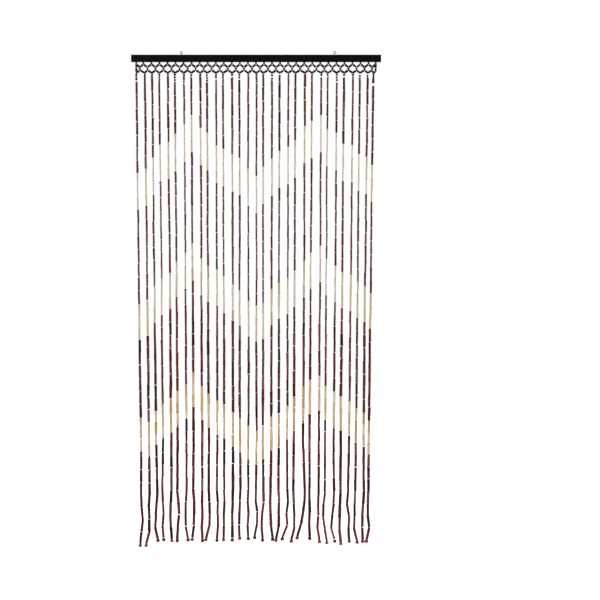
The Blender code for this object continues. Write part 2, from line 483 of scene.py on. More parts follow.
@dataclass(frozen=True)
class Cord:
    """Thin laid cord with the twist of its plies, and painted shade in the furrows between them.

    The furrow colour between the plies, which is painted shade, and the ply colour on them.
    plies: how finely they repeat along each axis.
    relief: how high they stand.
    """

    name: str
    shaded_furrow: Colour
    ply: Colour
    plies: Scale = (500.0, 200.0, 700.0)
    relief: float = 0.00010

    def material(self) -> bpy.types.Material:
        """Mixes the cord's colour, with painted shade in the furrows between its plies.

        Returns:
            The material.
        """
        bench = NodeBench(self.name)
        place = bench.stretched(bench.object_place(), self.plies)
        settings = {"wave_type": "BANDS", "bands_direction": "DIAGONAL"}
        wave = bench.add("ShaderNodeTexWave", settings, {"Vector": place, "Scale": 1.0, "Distortion": 1.0})
        twist = Value(bench, wave.outputs["Fac"])
        return bench.finish(
            # The ramp's darker end is painted shade in the furrows, where the bump sinks.
            base_color=bench.ramp(twist, ((0.1, self.shaded_furrow), (0.7, self.ply))),
            roughness=0.70 + twist * 0.15,
            normal=bench.bump(twist, self.relief),
            specular_ior_level=0.08,
        )


@dataclass(frozen=True)
class StudioWhite:
    """The pale floor under the curtain.

    cloud: how many patches there are to the metre along each axis.
    glow: how brightly the floor shines, so that it stays as pale as the surround.
    """

    shade: Colour = (0.90, 0.90, 0.90)
    pale: Colour = (0.94, 0.94, 0.94)
    cloud: Scale = (1.5, 1.5, 1.5)
    glow: float = 0.80

    def material(self) -> bpy.types.Material:
        """Mixes the floor's paint.

        Returns:
            Its material.
        """
        bench = NodeBench("studio_floor")
        patches = bench.noise(bench.object_place(), self.cloud, 2.0)
        return bench.finish(
            base_color=bench.ramp(patches, ((0.3, self.shade), (0.7, self.pale))),
            roughness=0.9,
            emission_color=WHITE,
            emission_strength=self.glow,
        )


# Each cord's first colour is painted shade for the furrows between its plies.
STRAND_CORD = Cord("strand_cord", (0.035, 0.025, 0.022), (0.130, 0.100, 0.090))
HEADING_CORD = Cord("heading_cord", (0.004, 0.002, 0.002), (0.018, 0.008, 0.008))

DARK_BAMBOO = Bamboo(
    Slot.STAINED_BAMBOO,
    (
        (0.00, (0.012, 0.002, 0.002)),
        (0.15, (0.048, 0.004, 0.003)),
        (0.35, (0.092, 0.006, 0.004)),
        (0.55, (0.130, 0.011, 0.008)),
        (0.75, (0.150, 0.023, 0.018)),
        (0.88, (0.156, 0.048, 0.039)),
        (1.00, (0.170, 0.098, 0.076)),
    ),
    (0.012, 0.003, 0.003),
    (0.060, 0.030, 0.022),
)

NATURAL_BAMBOO = Bamboo(
    Slot.PALE_BAMBOO,
    (
        (0.00, (0.420, 0.235, 0.092)),
        (0.25, (0.500, 0.315, 0.142)),
        (0.55, (0.580, 0.425, 0.242)),
        (0.80, (0.600, 0.485, 0.335)),
        (1.00, (0.620, 0.540, 0.415)),
    ),
    (0.300, 0.210, 0.130),
    (0.560, 0.480, 0.340),
)


def object_mode_on(obj: bpy.types.Object) -> None:
    """Leaves one object alone selected and active.

    Args:
        obj: the object.
    """
    bpy.ops.object.select_all(action="DESELECT")
    obj.select_set(True)
    bpy.context.view_layer.objects.active = obj


def pick(obj: bpy.types.Object, part: str, test: Callable[[object], bool]) -> None:
    """Selects faces or edges in edit mode, and nothing else.

    Args:
        obj: the object in edit mode.
        part: FACE or EDGE.
        test: says which to select.
    """
    bpy.ops.mesh.select_mode(type=part)
    bpy.ops.mesh.select_all(action="DESELECT")
    mesh = bmesh.from_edit_mesh(obj.data)
    for item in mesh.faces if part == "FACE" else mesh.edges:
        if test(item):
            item.select_set(True)
    bmesh.update_edit_mesh(obj.data)


def apply_place(obj: bpy.types.Object) -> None:
    """Moves an object's place into its mesh, so that the object stands at the origin."""
    object_mode_on(obj)
    bpy.ops.object.transform_apply(location=True, rotation=True, scale=True)


def dress(obj: bpy.types.Object, finish: bpy.types.Material, slot: Slot, nodes: Sequence[str]) -> None:
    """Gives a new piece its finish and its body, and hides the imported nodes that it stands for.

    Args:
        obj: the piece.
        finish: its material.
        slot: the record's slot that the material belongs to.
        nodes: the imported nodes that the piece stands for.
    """
    obj.data.materials.clear()
    obj.data.materials.append(finish)
    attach(obj, "root")
    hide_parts(*nodes)
    LOG.info("%s: %d faces, slot %s", obj.name, len(obj.data.polygons), slot.value)


@dataclass(frozen=True)
class Course:
    """A value that changes with the drop below the bar, straight between its (drop, value) points.

    spread: how far a value usually strays from that line.
    least and most: its limits.
    """

    points: tuple[tuple[float, float], ...]
    spread: float
    least: float
    most: float

    def draw(self, drop: float, chance: random.Random, factor: float = 1.0) -> float:
        """A value near the course.

        Args:
            drop: the drop below the bar, as a share of the curtain's.
            chance: the choice of how far off the course it is.
            factor: what it is multiplied by.

        Returns:
            The value, kept within the course's limits.
        """
        for (above, first), (below, second) in zip(self.points, self.points[1:]):
            if drop <= below:
                break
        share = min(1.0, max(0.0, (drop - above) / (below - above)))
        value = chance.gauss(first + (second - first) * share, self.spread) * factor
        return min(self.most, max(self.least, value))


TONES = {
    BeadKind.DARK_TUBE: Course(
        ((0.0, 0.52), (0.12, 0.56), (0.25, 0.68), (0.42, 0.70), (0.56, 0.46), (0.72, 0.38), (1.0, 0.32)),
        0.26,
        0.05,
        1.0,
    ),
    BeadKind.PALE_TUBE: Course(((0.1, 0.88), (0.35, 0.74), (0.55, 0.55), (0.85, 0.24)), 0.20, 0.0, 1.0),
}

RADII = {
    BeadKind.DARK_TUBE: Course(
        ((0.0, 0.0042), (0.3, 0.0037), (0.45, 0.0039), (0.6, 0.0049), (0.8, 0.0054), (1.0, 0.0054)),
        0.00028,
        0.0029,
        0.0064,
    ),
    BeadKind.PALE_TUBE: Course(
        ((0.1, 0.0028), (0.3, 0.0029), (0.5, 0.0037), (0.75, 0.0051), (1.0, 0.0056)),
        0.00022,
        0.0026,
        0.0060,
    ),
}


@dataclass(frozen=True)
class Bead:
    """One bead on its cord.

    top and bottom: the ends of its axis.
    radius: how thick it is.
    tone: where its colour stands in its finish's range.
    oval: how far it is from round.
    turn: how far it has turned on the cord.
    slant: how steeply its ends are cut, as a slope.
    taper: how much thicker its upper end is than its middle, as a share.
    bow: how far its middle stands off the straight.
    """

    top: Vector
    bottom: Vector
    radius: float
    tone: float
    oval: float = 1.0
    turn: float = 0.0
    slant: float = 0.0
    taper: float = 0.0
    bow: float = 0.0


@dataclass
class BeadMould:
    """A bead shape that is modelled once and copied for each bead of its kind.

    radius and length: the shape's own size.
    stretches: whether a bead's own length draws the shape out between its ends.
    places, cuts and faces: its points, where they are sawn ends, and the faces between them.
    """

    radius: float
    length: float
    stretches: bool
    places: list[Vector] = field(default_factory=list)
    cuts: list[float] = field(default_factory=list)
    faces: list[tuple[int, ...]] = field(default_factory=list)

    def keep(self, model: bpy.types.Object) -> None:
        """Keeps a model's shape and removes the model.

        Args:
            model: the object that was modelled.
        """
        self.places = [vertex.co.copy() for vertex in model.data.vertices]
        self.faces = [tuple(face.vertices) for face in model.data.polygons]
        rim = self.length / 2 - NEAR
        self.cuts = [1.0 if self.stretches and abs(place.z) > rim else 0.0 for place in self.places]
        bpy.data.objects.remove(model)

    def copies(self, name: str, beads: Sequence[Bead], seed: int) -> bpy.types.Object:
        """Copies the shape to every bead, as one mesh.

        Args:
            name: the piece's name.
            beads: where the beads sit.
            seed: starts the choice of each bead's own patch of fibre.

        Returns:
            The piece.
        """
        chance = random.Random(seed)
        places: list[Vector] = []
        fibres: list[float] = []
        tones: list[float] = []
        faces: list[tuple[int, ...]] = []
        for bead in beads:
            start = len(places)
            patch = Vector((chance.uniform(0, 1), chance.uniform(0, 1), chance.uniform(0, 1)))
            for local in self._shaped(bead):
                fibres.extend(local + patch)
                places.append(self._set(bead, local))
            tones.extend([bead.tone] * len(self.places))
            faces.extend(tuple(start + index for index in face) for face in self.faces)
        mesh = bpy.data.meshes.new(name)
        mesh.from_pydata(places, [], faces)
        mesh.attributes.new("fibre", "FLOAT_VECTOR", "POINT").data.foreach_set("vector", fibres)
        mesh.attributes.new("tone", "FLOAT", "POINT").data.foreach_set("value", tones)
        mesh.attributes.new("cut", "FLOAT", "POINT").data.foreach_set("value", self.cuts * len(beads))
        piece = bpy.data.objects.new(name, mesh)
        bpy.context.scene.collection.objects.link(piece)
        object_mode_on(piece)
        bpy.ops.object.shade_smooth_by_angle(angle=SMOOTH_UP_TO)
        return piece

    def _shaped(self, bead: Bead) -> list[Vector]:
        """Gives the shape a bead's own size.

        Args:
            bead: the bead.

        Returns:
            The shape's points about the bead's middle, with its axis upright.
        """
        scale = bead.radius / self.radius
        length = (bead.top - bead.bottom).length
        shaped = []
        for place in self.places:
            along = place.z * 2 / self.length
            swell = scale * (1 + bead.taper * along)
            x = place.x * swell * bead.oval + bead.bow * (1 - along * along)
            y = place.y * swell / bead.oval
            z = place.z * scale
            if self.stretches:
                end = math.copysign(1.0, place.z) if abs(place.z) > self.length / 4 else 0.0
                z = place.z + end * (length - self.length) / 2 + end * x * bead.slant
            shaped.append(Vector((x, y, z)))
        return shaped

    @staticmethod
    def _set(bead: Bead, local: Vector) -> Vector:
        """Puts a point of the shape where the bead hangs.

        Args:
            bead: the bead.
            local: the point about the bead's middle.

        Returns:
            Its place.
        """
        aim = (bead.top - bead.bottom).to_track_quat("Z", "Y")
        across = local.x * math.cos(bead.turn) - local.y * math.sin(bead.turn)
        depth = local.x * math.sin(bead.turn) + local.y * math.cos(bead.turn)
        return (bead.top + bead.bottom) / 2 + aim @ Vector((across, depth, local.z))


@dataclass(frozen=True)
class BoredTube:
    """A bored length of bamboo or wood.

    ease: how far its rims are eased.
    steps: the faces across each eased rim.
    waist: how thick its middle is against its rims.
    """

    radius: float
    length: float
    bore: float
    ease: float
    steps: int
    waist: float
    sides: int = 10

    def mould(self) -> BeadMould:
        """Models the bead.

        Returns:
            Its mould.
        """
        bpy.ops.object.select_all(action="DESELECT")
        bpy.ops.mesh.primitive_cylinder_add(vertices=self.sides, radius=self.radius, depth=self.length)
        model = bpy.context.object
        bpy.ops.object.mode_set(mode="EDIT")
        pick(model, "FACE", lambda face: abs(face.normal.z) > END_FACE)
        bpy.ops.mesh.inset(thickness=self.radius - self.bore, use_individual=True)
        bpy.ops.mesh.delete(type="FACE")
        pick(model, "EDGE", lambda edge: edge.is_boundary)
        bpy.ops.mesh.bridge_edge_loops()
        high = self.length / 2 - self.ease
        pick(model, "EDGE", lambda edge: self._outside(edge) and all(abs(v.co.z) > high for v in edge.verts))
        bpy.ops.mesh.bevel(offset=self.ease, segments=self.steps)
        bpy.ops.mesh.select_all(action="SELECT")
        bpy.ops.mesh.bisect(plane_co=(0.0, 0.0, 0.0), plane_no=(0.0, 0.0, 1.0))
        pick(model, "EDGE", lambda edge: self._outside(edge) and all(abs(v.co.z) < NEAR for v in edge.verts))
        bpy.ops.transform.resize(value=(self.waist, self.waist, 1.0))
        bpy.ops.mesh.select_all(action="SELECT")
        bpy.ops.mesh.normals_make_consistent(inside=False)
        bpy.ops.object.mode_set(mode="OBJECT")
        mould = BeadMould(self.radius, self.length, stretches=True)
        mould.keep(model)
        return mould

    def _outside(self, edge: bmesh.types.BMEdge) -> bool:
        """Whether an edge is on the outer wall."""
        return all(vertex.co.xy.length > self.radius * OUTER_WALL for vertex in edge.verts)


@dataclass(frozen=True)
class BoredBall:
    """A bored round bead.

    rings: its rings from pole to pole.
    squash: its height over its width.
    mouth: how wide its bore is against its first ring.
    """

    radius: float
    sides: int
    rings: int
    squash: float
    mouth: float = 0.75

    def mould(self) -> BeadMould:
        """Models the bead.

        Returns:
            Its mould.
        """
        bpy.ops.object.select_all(action="DESELECT")
        bpy.ops.mesh.primitive_uv_sphere_add(
            segments=self.sides, ring_count=self.rings, radius=self.radius
        )
        model = bpy.context.object
        bpy.ops.object.mode_set(mode="EDIT")
        pick(model, "FACE", lambda face: len(face.verts) == 3)
        bpy.ops.mesh.delete(type="FACE")
        pick(model, "EDGE", lambda edge: edge.is_boundary)
        bpy.ops.transform.resize(value=(self.mouth, self.mouth, 1.0))
        bpy.ops.mesh.bridge_edge_loops()
        bpy.ops.mesh.select_all(action="SELECT")
        bpy.ops.transform.resize(value=(1.0, 1.0, self.squash))
        bpy.ops.mesh.normals_make_consistent(inside=False)
        bpy.ops.object.mode_set(mode="OBJECT")
        mould = BeadMould(self.radius, self.radius * 2 * self.squash, stretches=False)
        mould.keep(model)
        return mould


@dataclass
class HeaderBar:
    """The lacquered bar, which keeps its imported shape."""

    node: str = "header_bar"
    finish: Lacquer = field(default_factory=Lacquer)

    def dress(self) -> None:
        """Gives the bar its lacquer."""
        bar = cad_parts[self.node]
        bar.data.materials.clear()
        bar.data.materials.append(self.finish.material())
        LOG.info("%s: packed shape, slot %s", self.node, Slot.BLACK_LACQUER.value)


@dataclass
class ScrewEyes:
    """The two screw eyes, each a bent wire ring on a pointed shank.

    wire: the wire's half thickness.
    ring: the radius of the ring's middle line.
    depth: how deep the shank stands in the bar.
    point and tip: how long the shank's point is, and how wide against the shank it ends.
    gap: the turn that the ring stays open.
    """

    wire: float = 0.0011
    ring: float = 0.0044
    depth: float = 0.0118
    point: float = 0.0020
    tip: float = 0.15
    sides: int = 12
    steps: int = 36
    gap: float = math.radians(9)
    nodes: tuple[str, str] = ("screw_eye_left", "screw_eye_right")
    finish: EyeSteel = field(default_factory=EyeSteel)

    def build(self) -> None:
        """Models the left eye and copies it for the right one."""
        material = self.finish.material()
        places = [self._middle(node) for node in self.nodes]
        model = self._model(places[0])
        second = model.copy()
        second.data = model.data.copy()
        bpy.context.scene.collection.objects.link(second)
        second.location = places[1] - places[0]
        apply_place(second)
        for eye, node in zip((model, second), self.nodes):
            eye.name = f"{node}_wire"
            dress(eye, material, Slot.EYE_STEEL, (node,))

    def _middle(self, node: str) -> Vector:
        """Where an eye's ring has its centre."""
        low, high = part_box(node)
        return Vector(((low.x + high.x) / 2, 0.0, high.z - self.ring - self.wire))

    def _model(self, middle: Vector) -> bpy.types.Object:
        """Bends one eye's wire round the ring's centre and adds its shank.

        Args:
            middle: the ring's centre.

        Returns:
            The eye.
        """
        root = middle - Vector((0.0, 0.0, self.ring))
        bpy.ops.object.select_all(action="DESELECT")
        bpy.ops.mesh.primitive_circle_add(
            vertices=self.sides,
            radius=self.wire,
            fill_type="NGON",
            location=root,
            rotation=(0.0, math.pi / 2, 0.0),
        )
        ring = bpy.context.object
        apply_place(ring)
        bpy.ops.object.mode_set(mode="EDIT")
        bpy.ops.mesh.select_all(action="SELECT")
        bpy.ops.mesh.spin(
            steps=self.steps,
            angle=2 * math.pi - self.gap,
            center=middle,
            axis=(0.0, 1.0, 0.0),
        )
        bpy.ops.mesh.select_all(action="SELECT")
        bpy.ops.mesh.normals_make_consistent(inside=False)
        bpy.ops.object.mode_set(mode="OBJECT")
        shank = self._shank(root)
        object_mode_on(ring)
        shank.select_set(True)
        bpy.ops.object.join()
        bpy.ops.object.shade_smooth_by_angle(angle=SMOOTH_UP_TO)
        return ring

    def _shank(self, root: Vector) -> bpy.types.Object:
        """Makes the straight shank, drawn to a point at its foot.

        Args:
            root: where the shank meets the ring.

        Returns:
            The shank.
        """
        bar_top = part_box("header_bar")[1].z
        low = bar_top - self.depth
        length = root.z - low
        bpy.ops.object.select_all(action="DESELECT")
        bpy.ops.mesh.primitive_cylinder_add(
            vertices=self.sides,
            radius=self.wire,
            depth=length - self.point,
            location=(root.x, root.y, root.z - (length - self.point) / 2),
        )
        shank = bpy.context.object
        apply_place(shank)
        bpy.ops.object.mode_set(mode="EDIT")
        pick(shank, "FACE", lambda face: face.normal.z < -END_FACE)
        bpy.ops.mesh.extrude_region_move(TRANSFORM_OT_translate={"value": (0.0, 0.0, -self.point)})
        bpy.ops.transform.resize(value=(self.tip, self.tip, 1.0))
        bpy.ops.object.mode_set(mode="OBJECT")
        return shank


@dataclass
class Stringing:
    """Where the strings leave the bar, meet and part in the heading, and hang.

    pitch and shift: how far apart the strings are, and how far they stand off the bar's middle.
    end_inset: how much nearer to their neighbours the outer two are.
    The drops are below the bar's underside.
    """

    pitch: float = 0.0290
    shift: float = -0.0004
    end_inset: float = 0.0035
    exit_drop: float = 0.0070
    meeting_drop: float = 0.0190
    parting_drop: float = 0.0281
    knot_drop: float = 0.0388
    side_foot_lift: float = 0.004
    count: int = len(STRANDS)

    def __post_init__(self) -> None:
        """Takes the bar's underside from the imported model."""
        self.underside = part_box("header_bar")[0].z

    def exit(self, index: int) -> Vector:
        """Where a string has left the bar and parts.

        Args:
            index: the string's number from the left.

        Returns:
            The place.
        """
        side = index - (self.count - 1) / 2
        inset = self.end_inset if index in (0, self.count - 1) else 0.0
        x = self.pitch * side - math.copysign(inset, side) + self.shift
        return Vector((x, 0.0, self.underside - self.exit_drop))

    def meeting(self, index: int) -> Vector:
        """Where this string and the next one to the right meet."""
        x = (self.exit(index).x + self.exit(index + 1).x) / 2
        return Vector((x, 0.0, self.underside - self.meeting_drop))

    def parting(self, index: int) -> Vector:
        """Where they part again, right below."""
        return Vector((self.meeting(index).x, 0.0, self.underside - self.parting_drop))

    def side_foot(self, index: int) -> Vector:
        """Where the string at one side of the heading turns in to its knot."""
        return Vector((self.exit(index).x, 0.0, self.knot(index).z + self.side_foot_lift))

    def knot(self, index: int) -> Vector:
        """The heading's lower knot, which a strand hangs from."""
        x = self.exit(index).x + STRANDS[index].aside * MM
        return Vector((x, 0.0, self.underside - self.knot_drop))


@dataclass
class Route:
    """The line that one strand follows from its knot down, and how thick its tubes are against others."""

    places: list[Vector]
    girth: float

    def at(self, height: float) -> Vector:
        """Finds the line's place at a height.

        Args:
            height: the height.

        Returns:
            The place.
        """
        for above, below in zip(self.places, self.places[1:]):
            if height >= below.z:
                break
        share = (above.z - height) / (above.z - below.z)
        place = above.lerp(below, share)
        place.z = height
        return place


@dataclass(frozen=True)
class Unevenness:
    """How unevenly tubes and round beads are cut and hang, as far as each may stray.

    slants: the slopes that tubes' ends are cut at.
    joint and slant_room: the bare cord at a tube's end, and what is added to it for each unit of slope.
    across and depth: how far a tube hangs off its cord.
    lean: how far its ends stand aside of its middle.
    oval, taper and bow: how it is shaped, as for a bead.
    length: its length against the others of its run.
    round_tones: the tones of round beads.
    round_radius and round_half: a round bead's thickness and half height, against the usual.
    round_across and round_lean: how far it hangs off its cord, and how far it tilts.
    ball_radius: a ball bead's thickness against the usual.
    """

    slants: tuple[float, ...] = (-0.36, -0.24, -0.06, 0.0, 0.06, 0.24, 0.36)
    joint: Span = (0.0001, 0.0004)
    slant_room: float = 0.0034
    across: Span = (-0.0005, 0.0005)
    depth: Span = (-0.0004, 0.0004)
    lean: Span = (-0.0004, 0.0004)
    oval: Span = (0.95, 1.05)
    taper: Span = (-0.08, 0.08)
    bow: Span = (-0.0004, 0.0004)
    length: Span = (0.94, 1.06)
    round_tones: tuple[float, ...] = (0.0, 0.03, 0.08, 0.15, 0.30)
    round_radius: Span = (0.90, 1.10)
    round_half: Span = (0.43, 0.47)
    round_across: Span = (-0.0005, 0.0005)
    round_lean: Span = (-0.0004, 0.0004)
    ball_radius: Span = (0.94, 1.04)


@dataclass
class Strands:
    """All the strands as beads threaded on cords, from the heading's knots down.

    spacer_lengths: o is a round bead, s a short tube, h a shorter one, and the other marks are bare cord.
    spacer_costs: how unwelcome each filling is between two bands, in millimetres of wrong tube length.
    level_drop: where the bands' starts are measured from, below the bar.
    knot_length: how far below a knot's middle the strand's first bead starts.
    foot_drop: how far below the bar the ball beads hang, before each strand's own difference.
    ball_neck: how far above a ball bead's middle the last tube's place on the line is.
    sway_across and sway_depth: how far a strand strays from the plumb line.
    girth_spread and girth: how much strands differ in thickness, and the least and the most.
    """

    stringing: Stringing
    tube_pitch: float = 0.048
    spacer_lengths: tuple[tuple[str, float], ...] = (
        ("o", 0.0079),
        ("s", 0.0180),
        ("h", 0.0100),
        ("'", 0.0014),
        (".", 0.0040),
        ("-", 0.0070),
    )
    spacer_costs: tuple[tuple[str, float], ...] = (("", 0.0), ("o", 2.0), ("s", 3.0))
    level_drop: float = 0.0378
    knot_length: float = 0.0026
    band_lengths: tuple[float, float, float] = (0.1332, 0.1332, 0.1300)
    band_tubes: int = 3
    foot_drop: float = 1.783
    ball_neck: float = 0.0048
    ball_radius: float = 0.0072
    ball_squash: float = 0.96
    round_radius: float = 0.0041
    sway_steps: int = 8
    sway_across: float = 0.0010
    sway_depth: float = 0.0015
    sway_seed: int = 31
    bead_seed: int = 7
    girth_spread: float = 0.07
    girth: Span = (0.86, 1.14)
    cord_radius: float = 0.00045
    uneven: Unevenness = Unevenness()
    beads: dict[BeadKind, list[Bead]] = field(default_factory=lambda: {kind: [] for kind in BeadKind})
    cords: list[list[Vector]] = field(default_factory=list)

    def thread(self) -> None:
        """Places every bead and cord of the strands."""
        sway = random.Random(self.sway_seed)
        chance = random.Random(self.bead_seed)
        for index, strand in enumerate(STRANDS):
            thinnest, thickest = self.girth
            girth = min(thickest, max(thinnest, chance.gauss(1.0, self.girth_spread)))
            route = Route(self._line(index, strand, sway), girth)
            self._thread_one(strand, route, chance)

    def _line(self, index: int, strand: Strand, sway: random.Random) -> list[Vector]:
        """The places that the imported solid's own strand passes.

        Args:
            index: the strand's number from the left.
            strand: how it hangs.
            sway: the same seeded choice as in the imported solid.

        Returns:
            The places, from the knot to under the ball bead.
        """
        knot = self.stringing.knot(index)
        ball_z = self.stringing.underside - self.foot_drop - strand.longer * MM
        foot_z = ball_z + self.ball_neck
        kink_top_z = foot_z + len(strand.kinks) * self.tube_pitch
        plumb = kink_top_z - knot.z
        places = [knot, Vector((knot.x, 0.0, knot.z + plumb / self.sway_steps))]
        for step in range(2, self.sway_steps):
            across = sway.uniform(-self.sway_across, self.sway_across)
            depth = sway.uniform(-self.sway_depth, self.sway_depth)
            places.append(Vector((knot.x + across, depth, knot.z + plumb * step / self.sway_steps)))
        for step, kink in enumerate(strand.kinks):
            depth = sway.uniform(-self.sway_depth, self.sway_depth)
            places.append(Vector((knot.x + kink * MM, depth, kink_top_z - step * self.tube_pitch)))
        foot_x = knot.x + strand.foot * MM
        places.append(Vector((foot_x, 0.0, foot_z)))
        places.append(Vector((foot_x, 0.0, ball_z - self.ball_radius)))
        return places

    def _thread_one(self, strand: Strand, route: Route, chance: random.Random) -> None:
        """Threads one strand from its knot to its ball bead.

        Args:
            strand: how it hangs.
            route: its line.
            chance: the choice of sizes and tones.
        """
        level = self.stringing.underside - self.level_drop
        height = route.places[0].z - self.knot_length
        joints = [route.places[0].z]
        for mark in strand.spacers:
            height = self._space(mark, height, route, chance)
            joints.append(height)
        foot_z = route.places[-2].z
        ends = [level - start * MM for start in strand.bands]
        height = self._run(BeadKind.DARK_TUBE, height, ends[0], strand.tubes, route, chance, joints)
        for number, start in enumerate(ends):
            band_end = start - self.band_lengths[number]
            height = self._run(BeadKind.PALE_TUBE, height, band_end, self.band_tubes, route, chance, joints)
            last = number == len(ends) - 1
            target = foot_z + len(strand.kinks) * self.tube_pitch if last else ends[number + 1]
            spacers, tubes = self._fitted(height - target)
            for mark in spacers:
                height = self._space(mark, height, route, chance)
                joints.append(height)
            height = self._run(BeadKind.DARK_TUBE, height, target, tubes, route, chance, joints)
        ball_top = foot_z - self.ball_neck + self.ball_radius * self.ball_squash
        self._run(BeadKind.DARK_TUBE, height, ball_top, len(strand.kinks), route, chance, joints, even=True)
        half = Vector((0.0, 0.0, self.ball_radius))
        ball = route.places[-1] + half
        radius = self.ball_radius * chance.uniform(*self.uneven.ball_radius)
        bead = Bead(ball + half, ball - half, radius, chance.random(), turn=chance.random())
        self.beads[BeadKind.BALL].append(bead)
        self.cords.append([route.at(joint) for joint in joints] + [route.places[-1]])

    def _fitted(self, length: float) -> tuple[str, int]:
        """Fills a length with perhaps one spacer, and then long tubes near their usual pitch.

        Args:
            length: the length between two bands.

        Returns:
            The spacer's mark, or none, and how many tubes follow it.
        """
        sizes = dict(self.spacer_lengths)
        choices = []
        for spacer, cost in self.spacer_costs:
            size = sizes.get(spacer, 0.0)
            tubes = max(1, round((length - size) / self.tube_pitch))
            off = ((length - size) / tubes - self.tube_pitch) / MM
            choices.append((off * off + cost * cost, spacer, tubes))
        return min(choices)[1:]

    def _space(self, mark: str, height: float, route: Route, chance: random.Random) -> float:
        """Threads one spacer.

        Args:
            mark: what it is.
            height: where it starts.
            route: the strand's line.
            chance: the choice of sizes and tones.

        Returns:
            The height under it.
        """
        below = height - dict(self.spacer_lengths)[mark]
        if mark in "sh":
            self._tube(BeadKind.DARK_TUBE, height, below, route, chance)
        if mark == "o":
            uneven = self.uneven
            radius = self.round_radius * chance.uniform(*uneven.round_radius)
            aside = Vector((chance.uniform(*uneven.round_across), 0.0, 0.0))
            middle = route.at((height + below) / 2) + aside
            lean = chance.uniform(*uneven.round_lean)
            half = Vector((lean, 0.0, (height - below) * chance.uniform(*uneven.round_half)))
            tone = chance.choice(uneven.round_tones)
            bead = Bead(middle + half, middle - half, radius, tone, turn=chance.random())
            self.beads[BeadKind.ROUND].append(bead)
        return below

    def _run(
        self,
        kind: BeadKind,
        height: float,
        end: float,
        count: int,
        route: Route,
        chance: random.Random,
        joints: list[float],
        even: bool = False,
    ) -> float:
        """Threads tubes of one kind from a height down to an end.

        Args:
            kind: dark or pale tubes.
            height: where the first tube starts.
            end: where the last tube ends.
            count: how many tubes there are.
            route: the strand's line.
            chance: the choice of sizes and tones.
            joints: the heights between beads, which this adds to.
            even: whether all the tubes are equally long.

        Returns:
            The end.
        """
        shares = [1.0 if even else chance.uniform(*self.uneven.length) for _ in range(count)]
        step = (height - end) / sum(shares) if count else 0.0
        for share in shares:
            below = height - step * share
            self._tube(kind, height, below, route, chance)
            joints.append(below)
            height = below
        return end

    def _tube(
        self, kind: BeadKind, height: float, below: float, route: Route, chance: random.Random
    ) -> None:
        """Threads one tube, which hangs a little off its cord.

        Args:
            kind: dark or pale.
            height: where it starts.
            below: where it ends.
            route: the strand's line.
            chance: the choice of its shape and tone.
        """
        uneven = self.uneven
        slant = chance.choice(uneven.slants)
        gap = chance.uniform(*uneven.joint) + uneven.slant_room * abs(slant)
        top = route.at(height - gap)
        bottom = route.at(below + gap)
        drift = Vector((chance.uniform(*uneven.across), chance.uniform(*uneven.depth), 0.0))
        lean = Vector((chance.uniform(*uneven.lean), chance.uniform(*uneven.lean), 0.0))
        drop = (self.stringing.underside - height) / self.foot_drop
        tone = TONES[kind].draw(drop, chance)
        radius = RADII[kind].draw(drop, chance, route.girth)
        self.beads[kind].append(
            Bead(
                top + drift + lean,
                bottom + drift - lean,
                radius,
                tone,
                oval=chance.uniform(*uneven.oval),
                turn=chance.uniform(0.0, math.tau),
                slant=slant,
                taper=chance.uniform(*uneven.taper),
                bow=chance.uniform(*uneven.bow),
            )
        )


